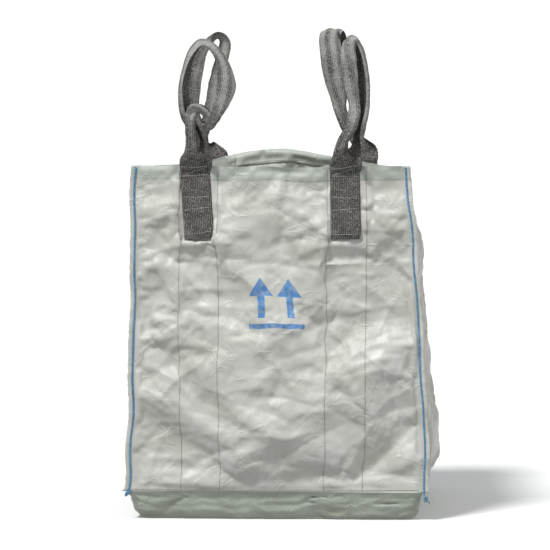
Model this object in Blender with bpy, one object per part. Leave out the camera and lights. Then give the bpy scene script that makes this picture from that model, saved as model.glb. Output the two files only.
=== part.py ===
"""Four-loop bulk bag (FIBC), empty and standing: four sewn walls, a base tray and lifting webbing.

Metres, +Z up, origin on the floor under the middle of the base. The front wall faces -Y.
"""
import bmesh
import bpy
import numpy as np

# Driving dimensions
HALF_SPAN = 0.440       # from the middle of the bag to the inner face of a wall
FABRIC = 0.002          # thickness the coated fabric is drawn with
GAP = 0.0003            # clearance between pieces that touch
FIN = 0.020             # seam allowance standing out past each corner
HEM_TOP = 1.072         # height of the mouth
HEM_DEPTH = 0.045       # height of the folded hem
SEAM_HEIGHT = 0.085     # height of the seam between the walls and the base
TURN_UP = 0.040         # edge of the base sewn behind the walls
BASE_CORNER = 0.035     # corner radius of the base in plan
BASE_ROUND = 0.030      # radius between the base's floor and its sides
STRIP_WIDTH = 0.119     # reinforcing strip behind each strap
STRIP_THICK = 0.0015
STRAP_X = 0.225         # centre of each strap from the middle of its wall
STRAP_WIDTH = 0.088     # lifting webbing, flat
STRAP_FOLDED = 0.060    # the same webbing folded lengthwise round the eye
STRAP_THICK = 0.0024    # one ply
LEG_LENGTH = 0.220      # webbing sewn to the wall
LEG_THICK = 0.0036      # its two plies
NECK = 0.165            # from the hinge line to the foot of the eye
LOOP_RISE = 0.383       # from the hinge line to the top of the eye
HINGE_RISE = 0.009      # hinge line above the hem
HINGE_OUT = 0.003       # hinge line outside the middle of the leg
STRAP_FOOT = -0.004     # lower end of the loop's strap from the hinge line
PLY_OFFSET = 0.0019     # each ply from the middle of the strap at the hem
PLY_SPREAD = 0.0016     # how much further apart the plies are in the neck
SEAM_THREAD = 0.0011    # radius of the blue corner and base thread
FINE_THREAD = 0.0006    # radius of the other thread

WALL_OUT = HALF_SPAN + FABRIC
WALL_BACKING = HALF_SPAN - GAP

# Eye of each loop: side, face, turn of the strap from hem to eye, half opening, lean at the top
LOOPS = {
    "front_left": (-1, -1, np.pi / 2, 0.068, 0.020),
    "back_left": (-1, 1, np.pi / 2, 0.060, 0.000),
    "front_right": (1, -1, 0.0, 0.055, 0.015),
    "back_right": (1, 1, 0.0, 0.055, -0.090),
}

# Colour, roughness of each finish
FINISHES = {
    "fabric": ((0.66, 0.67, 0.64, 1.0), 0.42),
    "base": ((0.52, 0.58, 0.53, 1.0), 0.45),
    "strip": ((0.60, 0.61, 0.58, 1.0), 0.55),
    "webbing": ((0.10, 0.095, 0.09, 1.0), 0.80),
    "blue_thread": ((0.13, 0.30, 0.56, 1.0), 0.60),
    "grey_thread": ((0.16, 0.16, 0.15, 1.0), 0.65),
    "pale_thread": ((0.45, 0.44, 0.42, 1.0), 0.60),
}


def clear_scene():
    for item in list(bpy.data.objects):
        bpy.data.objects.remove(item, do_unlink=True)


def finish_of(name, finish):
    """A material of the node's own, with the colour and gloss of its finish."""
    colour, roughness = FINISHES[finish]
    material = bpy.data.materials.new(name)
    material.use_nodes = True
    shader = material.node_tree.nodes["Principled BSDF"]
    shader.inputs["Base Color"].default_value = colour
    shader.inputs["Roughness"].default_value = roughness
    shader.inputs["Metallic"].default_value = 0.0
    return material


def add_solid(name, points, faces, finish, hinge=None):
    """A closed mesh from points in the bag's frame; on a hinge, its mesh is kept about the hinge."""
    origin = np.array(hinge.location) if hinge else np.zeros(3)
    mesh = bpy.data.meshes.new(name)
    mesh.from_pydata((np.asarray(points) - origin).tolist(), [], faces)
    shape = bmesh.new()
    shape.from_mesh(mesh)
    bmesh.ops.recalc_face_normals(shape, faces=shape.faces)
    bmesh.ops.dissolve_limit(shape, angle_limit=0.001, verts=shape.verts, edges=shape.edges)
    shape.to_mesh(mesh)
    shape.free()
    mesh.materials.append(finish_of(name, finish))
    solid = bpy.data.objects.new(name, mesh)
    solid.parent = hinge
    bpy.context.collection.objects.link(solid)
    return solid


def add_thread(name, route, radius, finish, hinge=None):
    """A round thread along a route of points in the bag's frame, with flat ends."""
    origin = np.array(hinge.location) if hinge else np.zeros(3)
    curve = bpy.data.curves.new(name, "CURVE")
    curve.dimensions = "3D"
    curve.bevel_depth = radius
    curve.bevel_resolution = 2
    curve.use_fill_caps = True
    line = curve.splines.new("POLY")
    line.points.add(len(route) - 1)
    for point, place in zip(line.points, np.asarray(route) - origin):
        point.co = (*place, 1.0)
    curve.materials.append(finish_of(name, finish))
    thread = bpy.data.objects.new(name, curve)
    thread.parent = hinge
    bpy.context.collection.objects.link(thread)
    return thread


def joined_boxes(boxes):
    """Points and faces of the one shell round boxes that share faces or overlap.

    Space is cut along every box side; each cell inside a box gives a face towards each empty cell.
    """
    cuts = [np.unique(np.round([corner[axis] for box in boxes for corner in box], 6)) for axis in range(3)]
    middles = np.meshgrid(*[(cut[1:] + cut[:-1]) / 2 for cut in cuts], indexing="ij")
    filled = np.zeros([len(cut) + 1 for cut in cuts], dtype=bool)
    for low, high in boxes:
        inside = [(middles[axis] > low[axis]) & (middles[axis] < high[axis]) for axis in range(3)]
        filled[1:-1, 1:-1, 1:-1] |= inside[0] & inside[1] & inside[2]
    points = []
    index = {}
    faces = []
    for cell in np.argwhere(filled):
        for axis in range(3):
            for side in (0, 1):
                beside = cell.copy()
                beside[axis] += 2 * side - 1
                if filled[tuple(beside)]:
                    continue
                face = []
                for step_a, step_b in ((0, 0), (1, 0), (1, 1), (0, 1)):
                    corner = cell - 1
                    corner[axis] += side
                    corner[(axis + 1) % 3] += step_a
                    corner[(axis + 2) % 3] += step_b
                    key = tuple(corner)
                    if key not in index:
                        index[key] = len(points)
                        points.append([cuts[k][corner[k]] for k in range(3)])
                    face.append(index[key])
                faces.append(face)
    return points, faces


def turned(low, high, face):
    """A box given for the right-hand wall (+X), turned onto a wall: right, left, front or back."""
    corners = np.array([low, high])
    if face in ("left", "front"):
        corners[:, 0] *= -1
    if face in ("front", "back"):
        corners = corners[:, [1, 0, 2]]
    return corners.min(axis=0), corners.max(axis=0)


def add_wall(face):
    """A wall with its top hem folded in.

    The front and back are flat and reach past the corners. The sides turn out at each corner into
    a flange behind them, so that the two lie face to face in the seam.
    """
    fold_half = HALF_SPAN - 2 * GAP
    if face in ("left", "right"):
        reach = WALL_BACKING
        fold_half = HALF_SPAN - FABRIC - 2 * GAP
    else:
        reach = WALL_OUT + FIN
    boxes = [
        ((HALF_SPAN, -reach, SEAM_HEIGHT), (WALL_OUT, reach, HEM_TOP)),
        ((HALF_SPAN - FABRIC, -fold_half, HEM_TOP - HEM_DEPTH), (HALF_SPAN, fold_half, HEM_TOP)),
    ]
    if face in ("left", "right"):
        for low_y in (-WALL_BACKING, WALL_BACKING - FABRIC):
            flange = ((HALF_SPAN, low_y, SEAM_HEIGHT), (WALL_OUT + FIN, low_y + FABRIC, HEM_TOP))
            boxes.append(flange)
    points, faces = joined_boxes([turned(low, high, face) for low, high in boxes])
    add_solid(f"{face}_panel", points, faces, "fabric")


def rounded_square(half, corner, height, corner_steps=5):
    """A ring of points round a square with round corners, at one height."""
    ring = []
    for quarter in range(4):
        for step in range(corner_steps):
            angle = np.pi / 2 * (quarter + step / (corner_steps - 1))
            middle = np.array([(1, 1), (-1, 1), (-1, -1), (1, -1)][quarter]) * (half - corner)
            ring.append((*(middle + corner * np.array([np.cos(angle), np.sin(angle)])), height))
    return ring


def add_base():
    """The base: a shallow tray whose round-cornered rim steps in and rises behind the walls."""
    rings = []
    for angle in np.linspace(0, np.pi / 2, 4):
        inset = BASE_ROUND * (1 - np.sin(angle))
        height = BASE_ROUND * (1 - np.cos(angle))
        rings.append(rounded_square(WALL_OUT - inset, BASE_CORNER, height))
    rim_in = WALL_BACKING - FABRIC
    rings.append(rounded_square(WALL_OUT, BASE_CORNER, SEAM_HEIGHT - GAP))
    rings.append(rounded_square(WALL_BACKING, BASE_CORNER, SEAM_HEIGHT - GAP))
    rings.append(rounded_square(WALL_BACKING, BASE_CORNER, SEAM_HEIGHT + TURN_UP))
    rings.append(rounded_square(rim_in, BASE_CORNER - FABRIC, SEAM_HEIGHT + TURN_UP))
    for angle in np.linspace(np.pi / 2, 0, 4):
        inset = (BASE_ROUND - FABRIC) * (1 - np.sin(angle))
        height = BASE_ROUND - (BASE_ROUND - FABRIC) * np.cos(angle)
        rings.append(rounded_square(rim_in - inset, BASE_CORNER - FABRIC, height))
    count = len(rings[0])
    points = [point for ring in rings for point in ring]
    faces = [list(range(count)), list(range(len(points) - count, len(points)))]
    for row in range(len(rings) - 1):
        for k in range(count):
            after = (k + 1) % count
            start = row * count
            faces.append([start + k, start + after, start + count + after, start + count + k])
    add_solid("base_panel", points, faces, "base")


def eased(part):
    """A smooth step from 0 to 1."""
    part = np.clip(part, 0.0, 1.0)
    return part * part * (3 - 2 * part)


def strap_course(turn, half_opening, lean, eye_steps=13):
    """Stations of a loop's strap from its foot: middle, width direction and half width.

    The strap climbs one side of the neck, goes round the eye and comes down the other side.
    Round the eye, with t from 0 at the neck to 1 at the top, the half opening grows as t sin(pi t)
    and the height as 1 - cos(pi t), which is a teardrop. The width direction turns in the neck.
    """
    neck_steps = 24 if turn else 7
    neck_heights = np.linspace(STRAP_FOOT, NECK, neck_steps)
    neck_halves = PLY_OFFSET + PLY_SPREAD * eased(neck_heights / 0.030)
    t = np.linspace(0, 1, eye_steps)
    eye_heights = NECK + (LOOP_RISE - NECK) * (1 - np.cos(np.pi * t)) / 2
    peak = 0.579
    eye_halves = neck_halves[-1] * np.cos(np.pi * t / 2) + half_opening * t * np.sin(np.pi * t) / peak
    heights = np.concatenate([neck_heights, eye_heights[1:]])
    halves = np.concatenate([neck_halves, eye_halves[1:]])
    heights = np.concatenate([heights, heights[-2::-1]])
    halves = np.concatenate([halves, -halves[-2::-1]])
    angle = turn * eased(heights / NECK)
    flat = np.zeros_like(angle)
    across = np.stack([np.cos(angle), np.sin(angle), flat], axis=1)
    opening = np.stack([np.sin(angle), -np.cos(angle), flat], axis=1)
    middle = opening * halves[:, None]
    middle[:, 0] += lean * eased(heights / LOOP_RISE)
    middle[:, 2] = heights
    narrowing = eased(heights / NECK)
    half_width = (STRAP_WIDTH + (STRAP_FOLDED - STRAP_WIDTH) * narrowing) / 2
    return middle, across, half_width


def strap_outward(middle, across):
    """Unit normals of the strap: tangent times width direction."""
    tangent = np.gradient(middle, axis=0)
    outward = np.cross(tangent, across)
    return outward / np.linalg.norm(outward, axis=1)[:, None]


def add_loop(name):
    """One lifting loop and the stitch on its folded webbing, on a hinge line at the hem."""
    side, face, turn, half_opening, lean = LOOPS[name]
    hinge = bpy.data.objects.new(f"hinge_{name}", None)
    leg_middle = WALL_OUT + GAP + LEG_THICK / 2
    hinge.location = (side * STRAP_X, face * (leg_middle + HINGE_OUT), HEM_TOP + HINGE_RISE)
    bpy.context.collection.objects.link(hinge)
    middle, across, half_width = strap_course(turn, half_opening, lean)
    middle = middle + np.array([side * STRAP_X, face * leg_middle, HEM_TOP + HINGE_RISE])
    outward = strap_outward(middle, across) * STRAP_THICK / 2
    reach = across * half_width[:, None]
    corners = [middle - reach - outward, middle + reach - outward, middle + reach + outward, middle - reach + outward]
    points = np.stack(corners, axis=1).reshape(-1, 3)
    last = len(points) - 4
    faces = [[3, 2, 1, 0], [last, last + 1, last + 2, last + 3]]
    for start in range(0, last, 4):
        ahead = start + 4
        for k in (0, 1, 3):
            after = (k + 1) % 4
            faces.append([start + k, start + after, ahead + after])
            faces.append([start + k, ahead + after, ahead + k])
        # The second broad face is split along the same slant as the first, so that they never cross
        faces.append([start + 2, start + 3, ahead + 2])
        faces.append([start + 3, ahead + 3, ahead + 2])
    loop = add_solid(f"loop_{name}", points, faces, "webbing", hinge)
    loop.data.shade_smooth()
    loop.data.set_sharp_from_angle(angle=np.radians(40))

    # Zigzag over the outside of the first side of the eye, one crossing from station to station
    eye_foot = len(middle) // 2 - 12
    stations = np.arange(eye_foot + 1, eye_foot + 6)
    swing = np.where(np.arange(len(stations)) % 2 == 0, 0.8, -0.8)
    standing = outward[stations] * (1 + 2 * (FINE_THREAD + 2 * GAP) / STRAP_THICK)
    route = middle[stations] - standing + reach[stations] * swing[:, None]
    add_thread(f"lap_stitch_{name}", route, FINE_THREAD, "pale_thread", hinge)


def add_leg(name):
    """The sewn-down webbing under a loop, its box stitch and the reinforcing strip behind it."""
    side, face = LOOPS[name][:2]
    wall = "front" if face < 0 else "back"
    centre = side * STRAP_X
    in_wall = WALL_OUT + GAP
    low = (in_wall, centre - STRAP_WIDTH / 2, HEM_TOP - LEG_LENGTH)
    high = (in_wall + LEG_THICK, centre + STRAP_WIDTH / 2, HEM_TOP)
    add_solid(f"leg_{name}", *joined_boxes([turned(low, high, wall)]), "webbing")

    strip_top = HEM_TOP - HEM_DEPTH - GAP
    strip_foot = SEAM_HEIGHT + TURN_UP + GAP
    low = (WALL_BACKING - STRIP_THICK, centre - STRIP_WIDTH / 2, strip_foot)
    high = (WALL_BACKING, centre + STRIP_WIDTH / 2, strip_top)
    add_solid(f"strip_{name}", *joined_boxes([turned(low, high, wall)]), "strip")

    stitch_y = face * (in_wall + LEG_THICK + GAP + FINE_THREAD)
    stitch_half = STRAP_WIDTH / 2 - 0.007
    stitch_top = HEM_TOP - 0.006
    stitch_foot = HEM_TOP - 0.038
    route = [
        (centre - stitch_half, stitch_y, stitch_top),
        (centre + stitch_half, stitch_y, stitch_top),
        (centre - stitch_half, stitch_y, stitch_foot),
        (centre + stitch_half, stitch_y, stitch_foot),
    ]
    add_thread(f"leg_stitch_{name}", route, FINE_THREAD, "pale_thread")

    row_y = face * (WALL_OUT + GAP + FINE_THREAD)
    for label, row in (("outer", 1), ("inner", -1)):
        row_x = centre + side * row * (STRIP_WIDTH / 2 - 0.004)
        route = [(row_x, row_y, SEAM_HEIGHT + 0.016), (row_x, row_y, HEM_TOP - 0.005)]
        add_thread(f"strip_row_{label}_{name}", route, FINE_THREAD, "grey_thread")


def add_corner_threads(name):
    """The two threads of a corner seam: one on the front or back face, one behind the fin."""
    side, face = LOOPS[name][:2]
    seam_x = side * (WALL_OUT + 0.005)
    foot = SEAM_HEIGHT + 0.003
    top = HEM_TOP - 0.003
    needle_y = face * (WALL_OUT + GAP + SEAM_THREAD)
    looper_y = face * (WALL_BACKING - FABRIC - GAP - SEAM_THREAD)
    for label, y in (("needle", needle_y), ("looper", looper_y)):
        route = [(seam_x, y, foot), (seam_x, y, top)]
        add_thread(f"corner_{label}_{name}", route, SEAM_THREAD, "blue_thread")


def add_wall_threads(face):
    """The base seam's thread, outside near a wall's lower edge, and the hem's, inside."""
    half = HALF_SPAN - 0.010
    places = (
        (f"base_thread_{face}", WALL_OUT + GAP + SEAM_THREAD, SEAM_HEIGHT + 0.008, "blue_thread"),
        (f"hem_thread_{face}", HALF_SPAN - FABRIC - GAP - SEAM_THREAD, HEM_TOP - HEM_DEPTH + 0.006, "pale_thread"),
    )
    for name, outward, height, finish in places:
        along_x = face in ("front", "back")
        sign = -1 if face in ("front", "left") else 1
        route = [
            (end * half, sign * outward, height) if along_x else (sign * outward, end * half, height)
            for end in (-1, 1)
        ]
        add_thread(name, route, SEAM_THREAD, finish)


clear_scene()
for wall_name in ("front", "back", "left", "right"):
    add_wall(wall_name)
    add_wall_threads(wall_name)
add_base()
for loop_name in LOOPS:
    add_leg(loop_name)
    add_loop(loop_name)
    add_corner_threads(loop_name)
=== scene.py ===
import math

import bpy
import numpy as np
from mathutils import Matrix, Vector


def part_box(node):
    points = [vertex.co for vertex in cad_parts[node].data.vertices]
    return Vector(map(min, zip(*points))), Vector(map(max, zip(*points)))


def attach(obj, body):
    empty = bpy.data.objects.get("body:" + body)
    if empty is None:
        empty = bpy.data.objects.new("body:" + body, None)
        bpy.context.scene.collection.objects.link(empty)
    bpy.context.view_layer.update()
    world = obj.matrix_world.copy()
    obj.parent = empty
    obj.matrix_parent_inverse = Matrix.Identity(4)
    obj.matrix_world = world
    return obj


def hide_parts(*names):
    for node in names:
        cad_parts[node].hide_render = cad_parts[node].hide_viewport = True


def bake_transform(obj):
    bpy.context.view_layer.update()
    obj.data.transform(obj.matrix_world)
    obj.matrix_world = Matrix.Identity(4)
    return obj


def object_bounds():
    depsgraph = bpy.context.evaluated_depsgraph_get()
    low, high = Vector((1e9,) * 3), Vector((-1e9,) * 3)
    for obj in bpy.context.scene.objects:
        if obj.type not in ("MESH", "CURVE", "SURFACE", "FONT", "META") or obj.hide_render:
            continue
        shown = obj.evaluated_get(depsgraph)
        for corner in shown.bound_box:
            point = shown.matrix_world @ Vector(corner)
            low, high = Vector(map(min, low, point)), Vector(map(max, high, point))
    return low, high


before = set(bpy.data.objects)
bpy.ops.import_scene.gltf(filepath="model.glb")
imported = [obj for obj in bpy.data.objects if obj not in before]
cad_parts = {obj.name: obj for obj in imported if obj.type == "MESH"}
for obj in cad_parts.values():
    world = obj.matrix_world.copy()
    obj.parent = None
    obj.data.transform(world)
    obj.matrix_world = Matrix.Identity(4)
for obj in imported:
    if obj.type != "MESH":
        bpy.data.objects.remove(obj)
cad_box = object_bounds()

# Stage: a white floor under even studio light, with a soft key from above the left front and a weak
# fill from the right. The floor throws no light back up, so folds keep their shaded sides. A long lens
# stands a little to the right of the front wall.
floor_half = 400.0
floor_mesh = bpy.data.meshes.new("floor")
floor_corners = [(side * floor_half, face * floor_half, -0.001)
                 for side, face in ((-1, -1), (1, -1), (1, 1), (-1, 1))]
floor_mesh.from_pydata(floor_corners, [], [(0, 1, 2, 3)])
floor = bpy.data.objects.new("floor", floor_mesh)
bpy.context.collection.objects.link(floor)
floor_paint = bpy.data.materials.new("floor")
floor_paint.use_nodes = True
floor_shader = floor_paint.node_tree.nodes["Principled BSDF"]
floor_shader.inputs["Base Color"].default_value = (0.97, 0.97, 0.97, 1)
floor_shader.inputs["Roughness"].default_value = 1.0
floor_mesh.materials.append(floor_paint)
floor.visible_diffuse = False

bpy.context.scene.view_settings.view_transform = "Standard"
world = bpy.data.worlds.new("studio")
world.use_nodes = True
sky = world.node_tree.nodes["Background"]
sky.inputs["Color"].default_value = (0.97, 0.985, 1.0, 1)
sky.inputs["Strength"].default_value = 0.43
bpy.context.scene.world = world

for name, strength, width, turn in (("key", 2.6, 12, (34, 0, -34)), ("fill", 0.55, 50, (62, 0, 68))):
    lamp = bpy.data.lights.new(name, "SUN")
    lamp.energy = strength
    lamp.angle = math.radians(width)
    lamp_holder = bpy.data.objects.new(name, lamp)
    lamp_holder.rotation_euler = tuple(math.radians(part) for part in turn)
    bpy.context.collection.objects.link(lamp_holder)

lens_distance = 14.0
lens_azimuth = math.radians(3.2)
lens_elevation = math.radians(3.85)
seen_width = 1.66
seen_plane = 0.44
aim_aside = -0.020
aim_height = cad_box[1][2] / 2 - 0.019
camera = bpy.data.cameras.new("camera")
camera.lens = camera.sensor_width * (lens_distance - seen_plane) / seen_width
holder = bpy.data.objects.new("camera", camera)
holder.location = (lens_distance * math.sin(lens_azimuth) * math.cos(lens_elevation) + aim_aside,
                   -lens_distance * math.cos(lens_azimuth) * math.cos(lens_elevation),
                   aim_height + lens_distance * math.sin(lens_elevation))
holder.rotation_euler = (math.pi / 2 - lens_elevation, 0, lens_azimuth)
bpy.context.collection.objects.link(holder)
bpy.context.scene.camera = holder

# Wall cloth: four pieces of white film-coated woven polypropylene, sewn edge to edge in fins at the
# corners. Empty, the stiff cloth stands in broad dents between sharp creases, so the four pieces are
# hung from their seams and let buckle with a little more cloth than room. The mouth is a turned hem.
hem_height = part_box("front_panel")[1][2]
seam_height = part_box("front_panel")[0][2]
wall_out = -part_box("front_panel")[0][1]
wall_span = 0.88
fin_width = 0.020
hem_depth = 0.045
cloth_columns = 61
cloth_rows = 69
cloth_finer = 3
leg_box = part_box("leg_front_right")
strap_half = (leg_box[1][0] - leg_box[0][0]) / 2
leg_foot = leg_box[0][2]
wall_height = hem_height - seam_height


def smooth_step(part):
    """0 below 0, 1 above 1, and 3p^2 - 2p^3 between."""
    part = np.clip(part, 0.0, 1.0)
    return part * part * (3 - 2 * part)


def soft_noise(x, y, cell, seed):
    """Random heights from -1 to 1 on a square lattice of the given cell, blended by a quintic."""
    heights = np.random.default_rng(seed).uniform(-1, 1, (64, 64))
    column, row = np.floor(x / cell), np.floor(y / cell)
    along, up = x / cell - column, y / cell - row
    along = along ** 3 * (along * (6 * along - 15) + 10)
    up = up ** 3 * (up * (6 * up - 15) + 10)
    column, row = column.astype(int) % 64, row.astype(int) % 64
    right, above = (column + 1) % 64, (row + 1) % 64
    low = heights[row, column] * (1 - along) + heights[row, right] * along
    high = heights[above, column] * (1 - along) + heights[above, right] * along
    return low * (1 - up) + high * up


def corner_line(side, face, height):
    """The seam line of a corner: the cloth spreads at the base and gathers in at the mouth."""
    part = np.clip((height - seam_height) / wall_height, 0, 1)
    half_base, gather, power = {(-1, -1): (0.445, 0.032, 0.3), (1, -1): (0.453, 0.060, 1.7),
                                (-1, 1): (0.446, 0.040, 1.0), (1, 1): (0.450, 0.085, 1.4)}[side, face]
    x = side * (half_base - gather * part ** power)
    x = x + 0.004 * soft_noise(height, 0 * height, 0.11, 5 + side + 3 * face)
    y = face * (wall_out - 0.001 - 0.020 * part ** 2)
    y = y + 0.005 * soft_noise(height, 0 * height, 0.13, 15 + side + 3 * face)
    return np.stack([x, y, height], axis=-1)


corner_drops = {(-1, -1): 0.0, (1, -1): 0.0, (-1, 1): 0.034, (1, 1): 0.038}
walls = {
    name: dict(start=start, end=end, outward=outward, droop=droop, bulge=bulge, set_back=set_back)
    for name, start, end, outward, droop, bulge, set_back in (
        ("front", (-1, -1), (1, -1), (0, -1, 0), 0.004, 0.012, 0.0),
        ("right", (1, -1), (1, 1), (1, 0, 0), 0.055, 0.012, 0.0035),
        ("back", (1, 1), (-1, 1), (0, 1, 0), -0.052, 0.012, 0.0),
        ("left", (-1, 1), (-1, -1), (-1, 0, 0), 0.045, 0.008, 0.0035))
}


def mouth_height(name, across):
    """The height of a wall's top edge: level between its corners, less a squared sine and a ripple."""
    wall = walls[name]
    drop = corner_drops[wall["start"]] * (1 - across) + corner_drops[wall["end"]] * across
    ripple = 0.0035 * soft_noise(across, 0 * across, 0.07, 31 + len(name)) * np.sin(np.pi * across)
    return hem_height - drop - wall["droop"] * np.sin(np.pi * across) ** 2 + ripple


def hung_wall(name):
    """A wall before it buckles: straight across between its two corner lines, plus a bulge.

    The bulge is a sine both ways. A side wall's edges stand set_back behind the
    front and back walls' edges that they are sewn to.
    """
    wall = walls[name]
    across, up = np.meshgrid(np.linspace(0, 1, cloth_columns), np.linspace(0, 1, cloth_rows))
    height = seam_height + (mouth_height(name, across) - seam_height) * up
    edges = []
    for corner in (wall["start"], wall["end"]):
        edge = corner_line(*corner, seam_height + (hem_height - corner_drops[corner] - seam_height) * up)
        edge[..., 1] -= corner[1] * wall["set_back"]
        edges.append(edge)
    points = edges[0] + (edges[1] - edges[0]) * across[..., None]
    points[..., 2] = height
    bulge = wall["bulge"] * np.sin(np.pi * across) * np.sin(np.pi * (0.15 + 0.7 * up))
    seed = 40 + 7 * list(walls).index(name)
    rough = 0.017 * soft_noise(across, up, 0.24, seed) + 0.004 * soft_noise(across, up, 0.09, seed + 1)
    if wall["outward"][1]:
        foot = np.abs(np.abs(points[..., 0]) - 0.23) < strap_half + 0.02
        rough = rough * (1 - 0.95 * foot * (up > 0.72))
    bulge = bulge + rough * np.sin(np.pi * across) ** 0.5 * np.sin(np.pi * np.clip(up, 0, 1)) ** 0.5
    return points + bulge[..., None] * np.array(wall["outward"])


def faces_of(order):
    """Four-sided faces over a table of point numbers, row by row."""
    return np.stack([order[:-1, :-1], order[:-1, 1:], order[1:, 1:], order[1:, :-1]], -1).reshape(-1, 4)


def buckled(grids, pins):
    """The grids of points after the cloth solver has let them buckle, with the pinned points held."""
    points = np.concatenate([grid.reshape(-1, 3) for grid in grids])
    faces, first = [], 0
    for grid in grids:
        count = grid.shape[0] * grid.shape[1]
        faces.append(faces_of(first + np.arange(count).reshape(grid.shape[:2])))
        first += count
    mesh = bpy.data.meshes.new("cloth")
    mesh.from_pydata(points.tolist(), [], np.concatenate(faces).tolist())
    cloth = bpy.data.objects.new("cloth", mesh)
    bpy.context.collection.objects.link(cloth)
    held = cloth.vertex_groups.new(name="held")
    held.add(np.flatnonzero(np.concatenate([pin.ravel() for pin in pins])).tolist(), 1.0, "REPLACE")
    solver = cloth.modifiers.new("buckle", "CLOTH")
    solver.settings.quality = 6
    solver.settings.mass = 0.02
    solver.settings.tension_stiffness = 40
    solver.settings.compression_stiffness = 40
    solver.settings.shear_stiffness = 25
    solver.settings.bending_stiffness = 0.35
    solver.settings.air_damping = 2.5
    solver.settings.shrink_min = -0.030
    solver.settings.vertex_group_mass = "held"
    solver.collision_settings.use_collision = False
    settle_frames = 30
    solver.point_cache.frame_end = settle_frames + 10
    scene = bpy.context.scene
    for step in range(1, settle_frames + 1):
        scene.frame_set(step)
    settled = cloth.evaluated_get(bpy.context.evaluated_depsgraph_get()).to_mesh()
    flat = np.empty(len(settled.vertices) * 3)
    settled.vertices.foreach_get("co", flat)
    scene.frame_set(1)
    bpy.data.objects.remove(cloth)
    flat = flat.reshape(-1, 3)
    out, first = [], 0
    for grid in grids:
        count = grid.shape[0] * grid.shape[1]
        out.append(flat[first:first + count].reshape(grid.shape))
        first += count
    return out


def finer(points, times):
    """A grid with times as many steps each way, on a Catmull-Rom curve through its points."""
    for axis in (0, 1):
        points = np.moveaxis(points, axis, 0)
        before = np.concatenate([2 * points[:1] - points[1:2], points[:-2]])
        after = np.concatenate([points[2:], 2 * points[-1:] - points[-2:-1]])
        here, there = points[:-1], points[1:]
        rows = []
        for step in range(times):
            t = step / times
            rows.append(0.5 * (2 * here + (there - before) * t
                               + (2 * before - 5 * here + 4 * there - after) * t ** 2
                               + (3 * here - before - 3 * there + after) * t ** 3))
        out = np.stack(rows, axis=1).reshape(-1, *points.shape[1:])
        points = np.moveaxis(np.concatenate([out, points[-1:]]), 0, axis)
    return points


def slope_of(points):
    """Unit normals of a grid of points, from its central differences, on the outer side."""
    across = np.gradient(points, axis=1)
    up = np.gradient(points, axis=0)
    normal = np.cross(across, up)
    return normal / np.linalg.norm(normal, axis=-1, keepdims=True)


leg_middles = {"front": (-0.232, 0.216), "back": (-0.235, 0.237)}


def by_leg(name, x, margin):
    """Whether each x on a wall is behind one of its two legs, or within a margin of it."""
    return np.abs(x - np.where(x < 0, *leg_middles[name])) < strap_half + margin


wall_grids = [hung_wall(name) for name in walls]
pinned = []
for name, grid in zip(walls, wall_grids):
    across, up = np.meshgrid(np.linspace(0, 1, cloth_columns), np.linspace(0, 1, cloth_rows))
    pin = (across == 0) | (across == 1) | (up == 0) | (up == 1)
    if name in leg_middles:
        pin |= by_leg(name, grid[..., 0], 0.002) & (up > (leg_foot - 0.01 - seam_height) / wall_height)
    pinned.append(pin)
wall_grids = buckled(wall_grids, pinned)

# Between the broad dents the coated cloth keeps sharp straight folds from being packed flat. They
# fade out at the seams, at the stiff hem and under the webbing legs. The front wall's largest are
# listed: millimetres from the middle and from the ground, lean in degrees, length, width and height.
front_folds = [(47, 985, -8, 90, 14, 7), (135, 985, 20, 80, 12, 7), (120, 910, -38, 150, 22, 9),
               (-225, 842, 4, 210, 16, 11), (215, 835, -4, 150, 12, 8), (230, 745, 12, 160, 30, -13),
               (160, 590, 68, 220, 24, -10), (205, 480, 35, 190, 22, 10), (-300, 430, 42, 150, 12, 7),
               (-310, 420, -40, 150, 12, 7), (-370, 378, -32, 110, 12, 8), (-60, 300, -24, 240, 34, 12),
               (85, 250, 28, 230, 28, -12), (-235, 100, -9, 260, 12, 7), (280, 330, -52, 200, 22, 10),
               (-130, 620, -30, 210, 26, -9), (-330, 700, -60, 180, 20, 9), (340, 620, 60, 160, 18, 8)]


def folded(x, z, place, lean, length, width, height):
    """One sharp fold: it falls off as e to the minus distance over width, slower on its upper side.

    Its height rises and dies along its length as a smooth step at both ends.
    """
    lean = math.radians(lean)
    away_x, away_z = x - place[0], z - place[1]
    along = away_x * math.cos(lean) + away_z * math.sin(lean)
    aside = -away_x * math.sin(lean) + away_z * math.cos(lean)
    aside = aside + 0.18 * length * (along / length) ** 2
    fall = np.where(aside > 0, aside / (width * 2.2), -aside / width)
    return height * np.exp(-np.sqrt(fall ** 2 + 0.02)) * smooth_step(1.25 - 1.5 * np.abs(along) / length)


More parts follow.
